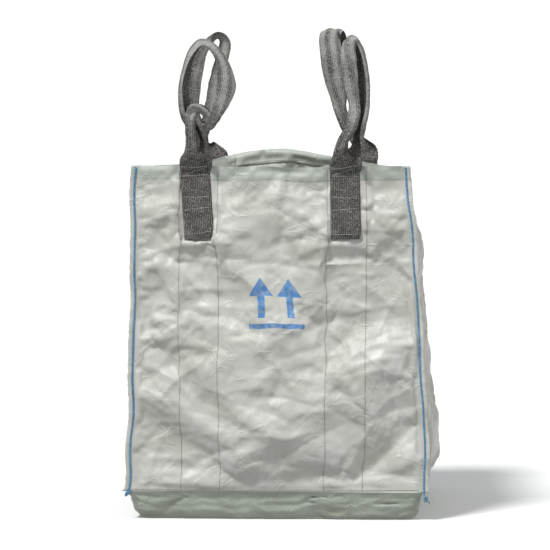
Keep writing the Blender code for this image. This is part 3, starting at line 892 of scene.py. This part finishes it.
# Thread: heavy bag yarn in chain stitch. Each stitch on show is a short plump bar that dives into
# the cloth at both ends: blue in the corner fins, grey in the strip rows and pale elsewhere.
bar_sides = 7
row_step = 0.0085
row_radius = 0.0009
bar_rings = np.array([0.0, 0.10, 0.30, 0.70, 0.90, 1.0])
bar_girth = np.array([0.25, 0.80, 1.0, 1.0, 0.80, 0.25])


def thread_bars(starts, ends, normals, radius, rise):
    """Plump bars from starts to ends: rings of points about each line, the middle risen by rise.

    A ring stands at a part p of the line, risen by 4 p (1 - p) along the normal, and its radius
    swells from a quarter at the ends to full.
    """
    starts, ends, normals = (np.asarray(table, float).reshape(-1, 3) for table in (starts, ends, normals))
    line = ends - starts
    unit = line / np.linalg.norm(line, axis=1, keepdims=True)
    aside = np.cross(unit, normals)
    aside /= np.linalg.norm(aside, axis=1, keepdims=True)
    out = np.cross(aside, unit)
    part = bar_rings[None, :, None]
    centre = starts[:, None] + line[:, None] * part + out[:, None] * (rise * 4 * part * (1 - part))
    angle = (np.arange(bar_sides) * 2 * math.pi / bar_sides)[:, None]
    ring = np.cos(angle) * aside[:, None, None] + np.sin(angle) * out[:, None, None]
    points = centre[:, :, None] + (radius * bar_girth)[:, None, None] * ring
    count, rings = len(starts), len(bar_rings)
    order = np.arange(count * rings * bar_sides).reshape(count, rings, bar_sides)
    near = np.concatenate([order, order[..., :1]], -1)
    skin = np.stack([near[:, :-1, :-1], near[:, 1:, :-1], near[:, 1:, 1:], near[:, :-1, 1:]], -1)
    caps = order[:, 0].tolist() + order[:, -1, ::-1].tolist()
    return points.reshape(-1, 3), skin.reshape(-1, 4).tolist() + caps


def twisted_yarn(name, light, dark):
    """Glossy bulked yarn: tone and height wound by a slanted wave and broken by fine noise."""
    paint, tree, shader = blank_paint(name)
    shader.inputs["Roughness"].default_value = 0.5
    place = node(tree, "ShaderNodeTexCoord", {}).outputs["Object"]
    wound = node(tree, "ShaderNodeTexWave", dict(bands_direction="DIAGONAL"), Vector=place, Scale=260.0,
                 Distortion=2.0, Detail=1.0).outputs["Fac"]
    tone = blend_colours(tree, spread(tree, speckle(tree, place, 90.0), 0.35, 0.65), dark, light)
    tone = blend_colours(tree, spread(tree, wound, 0.0, 0.5, 0.35, 0.0), tone, dark)
    tree.links.new(tone, shader.inputs["Base Color"])
    tree.links.new(relief(tree, wound, 0.0003, 0.8), shader.inputs["Normal"])
    return paint


blue_yarn = twisted_yarn("blue_yarn", (0.130, 0.400, 0.640, 1), (0.050, 0.200, 0.400, 1))
grey_yarn = twisted_yarn("grey_yarn", (0.300, 0.310, 0.290, 1), (0.150, 0.160, 0.145, 1))
pale_yarn = twisted_yarn("pale_yarn", (0.620, 0.620, 0.590, 1), (0.360, 0.360, 0.340, 1))


def sewn(name, stands_for, starts, ends, normals, radius, rise, paint, slot, body="bag"):
    """A row of stitches as one piece, in place of a CAD thread."""
    points, faces = thread_bars(starts, ends, normals, radius, rise)
    piece = new_piece(name, points, faces, paint)
    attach(piece, body)
    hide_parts(stands_for)


def row_bars(points, normals, cover=0.80):
    """Stitch starts and ends from a line of points, each covering a part of its step."""
    return points[:-1], points[:-1] + (points[1:] - points[:-1]) * cover, normals[:-1]


def sewn_through(name, stands_for, wall, spot, height, inner_lift, shortest, paint, slot):
    """A row of stitches through a wall, with bars on its outer face and on its inner face.

    Bars under the shortest length, where the row is cut off by a seam, are left out.
    """
    starts, ends, normals = [], [], []
    for lift, way in ((0.0004, 1), (inner_lift, -1)):
        line, slope = on_wall(wall, spot, height, 0 * height + lift)
        whole = np.linalg.norm(np.diff(line, axis=0), axis=1) >= shortest
        start, end, normal = (table[whole] for table in row_bars(line, way * slope))
        starts.append(start)
        ends.append(end)
        normals.append(normal)
    sewn(name, stands_for, np.concatenate(starts), np.concatenate(ends), np.concatenate(normals),
         row_radius, 0.0006, paint, slot)


# Strip rows run the full height on both edges of each strip, through wall and strip together. They
# wander a little, as seams guided by hand do.
for corner in row_places:
    height = np.arange(seam_height + 0.006, hem_height - 0.004, row_step)
    for place, side in (("outer", -1), ("inner", 1)):
        spot = row_line(corner, side if "left" in corner else -side, height)
        sewn_through(f"strip_row_{place}_{corner}_yarn", f"strip_row_{place}_{corner}", corner.split("_")[0],
                     spot, height, -0.0038, 0.0, grey_yarn, "grey_thread")

# The hem's row holds the turned edge, 38 mm under the mouth. It follows the mouth's own line with a
# ripple of about a millimetre.
for name in walls:
    spot = np.arange(-0.425, 0.425, row_step)
    across = spot / wall_span + 0.5 if name in ("front", "right") else 0.5 - spot / wall_span
    height = mouth_height(name, across) - hem_depth + 0.007 + 0.0012 * soft_noise(spot, 0 * spot, 0.09, 720)
    sewn_through(f"hem_{name}_yarn", f"hem_thread_{name}", name, spot, height, -0.0042, 0.004,
                 pale_yarn, "pale_thread")


def knotted_tail(place, side, face, seed):
    """The loose end of a corner's yarn: a small tangle on a circle that wanders, then a short tail."""
    turn = np.linspace(0, 6.4 * math.pi, 34)
    draw = np.random.default_rng(seed)
    wander = np.cumsum(draw.normal(0, 0.0011, (len(turn), 3)), axis=0)
    size = 0.0038 * (1 - 0.55 * np.sin(turn * 0.7))
    tangle = np.stack([side * (0.004 + size * np.cos(turn)), face * (0.003 + 0.003 * np.cos(turn * 1.7)),
                       -0.005 + 1.5 * size * np.sin(turn)], -1) + wander
    drop = np.linspace(0, 1, 8)[1:, None]
    tail = tangle[-1] + drop * [side * 0.010, face * 0.002, -0.016] + draw.normal(0, 0.0006, (len(drop), 3))
    return place + np.concatenate([tangle, tail])


# Corner fins are overlocked in blue: the needle yarn zigzags on the front of the fin over a straight
# run, and the looper yarn does the same behind it.
for corner in row_places:
    side, face = (-1 if "left" in corner else 1), (-1 if "front" in corner else 1)
    height = np.arange(seam_height - 0.010, hem_height - corner_drops[side, face] - 0.002, 0.0052)
    zig = np.where(np.arange(len(height)) % 2 == 0, 0.0015, 0.0085)
    for yarn, behind, way in (("needle", -0.0016, -1), ("looper", 0.0052, 1)):
        lines = [fin_points(side, face, height, zig, behind + 0 * height),
                 fin_points(side, face, height, 0 * zig + 0.0050, behind + way * 0.0004 + 0 * height)]
        starts, ends = [line[:-1] for line in lines], [line[1:] for line in lines]
        normals = [0 * line[1:] + [0, -face * way, 0] for line in lines]
        if yarn == "needle":
            tail = knotted_tail(lines[0][0], side, face, 740 + side + 3 * face)
            starts.append(tail[:-1])
            ends.append(tail[1:])
            normals.append(0 * tail[1:] + [0.2, face, 0.1])
        sewn(f"corner_{yarn}_{corner}_yarn", f"corner_{yarn}_{corner}", np.concatenate(starts),
             np.concatenate(ends), np.concatenate(normals), 0.0015, 0.0008, blue_yarn, "blue_thread")

# Base seam: the walls' lower edge is chain stitched to the tray's rim all round, 8 mm over the cut
# edge. Only its outer face is made, since the tray hides the inner one.
for name in walls:
    spot = np.arange(-0.432, 0.432, row_step)
    height = 0 * spot + seam_height + 0.008 + 0.0010 * soft_noise(spot, 0 * spot, 0.07, 730)
    line, normals = on_wall(name, spot, height, 0 * spot + 0.0006)
    sewn(f"base_{name}_yarn", f"base_thread_{name}", *row_bars(line, normals), 0.0010, 0.0007, pale_yarn,
         "blue_thread")


def on_strap(corner, run, side, lift):
    """Points on a strap at lengths along it and sides across it, raised by lift, with face directions."""
    places, even = strap_runs[corner]
    row = np.clip(np.searchsorted(even, run), 0, len(even) - 1)

    def surface(height, seed):
        return web_points(places, even, side[None, :], height, seed)[row, np.arange(len(run))]

    way = surface(lift + 0.001, 600) - surface(lift - 0.001, 600)
    points = surface(lift, 600 + list(loop_places).index(corner))
    return points, way / np.linalg.norm(way, axis=1, keepdims=True)


def seam_walk(turns, step):
    """Places every step along straight lines through the given turning places on the web."""
    turns = np.array(turns, float)
    metres = turns * [webbing_width / 2, 1.0]
    length = np.concatenate([[0], np.cumsum(np.linalg.norm(np.diff(metres, axis=0), axis=1))])
    even = np.linspace(0, length[-1], max(2, int(length[-1] / step) + 1))
    return np.interp(even, length, turns[:, 0]), np.interp(even, length, turns[:, 1])


def sewn_on_strap(name, stands_for, corner, middle, walks, lifts, body):
    """Stitch lines on a strap: each walk is turning places of side and length from the middle."""
    rows = []
    for walk in walks:
        side, along = seam_walk(walk, 0.0075)
        for lift in lifts:
            points, way = on_strap(corner, middle + along, side, lift)
            rows.append(row_bars(points, way * math.copysign(1, lift), 0.78))
    starts, ends, ups = (np.concatenate(parts) for parts in zip(*rows))
    sewn(name, stands_for, starts, ends, ups, row_radius, 0.0004, pale_yarn, "pale_thread", body)


# Legs are sewn down with pale yarn: two lines with a Z between them at the hem, and single lines
# across below. Each eye's lap is closed by the same Z.
hem_lines = [[(-0.92, -0.006), (0.92, -0.006), (-0.92, -0.034), (0.92, -0.034)],
             [(-0.92, -0.002), (0.92, -0.003)]]
foot_lines = [[(-0.88, -0.098), (0.88, -0.102)], [(-0.88, -0.137), (0.88, -0.133)],
              [(-0.88, -0.210), (0.88, -0.209)]]
lap_lines = [[(-0.75, -0.034), (0.75, -0.034), (-0.75, 0.030), (0.75, 0.030)],
             [(-0.80, 0.038), (0.80, 0.038)]]
lap_middles = {"front_left": 13, "back_left": 14, "front_right": 8, "back_right": 7}
proud = webbing_thick / 2 + 0.0004
for corner in loop_places:
    places, even = strap_runs[corner]
    front = corner.startswith("front")
    third = len(even) // 3
    leg_part = slice(0, third) if front else slice(-third, None)
    at_hem = even[leg_part][np.argmin(np.abs(places[leg_part, 2] - hem_height))]
    walks = [[(side, down if front else -down) for side, down in walk] for walk in hem_lines + foot_lines]
    sewn_on_strap(f"leg_{corner}_yarn", f"leg_stitch_{corner}", corner, at_hem, walks, [-proud], "bag")
    lap_place = loop_path(corner)[lap_middles[corner], :3]
    middle = even[np.argmin(np.linalg.norm(places[:, :3] - lap_place, axis=1))]
    sewn_on_strap(f"lap_{corner}_yarn", f"lap_stitch_{corner}", corner, middle, lap_lines, [-proud, proud],
                  f"loop_{corner}")
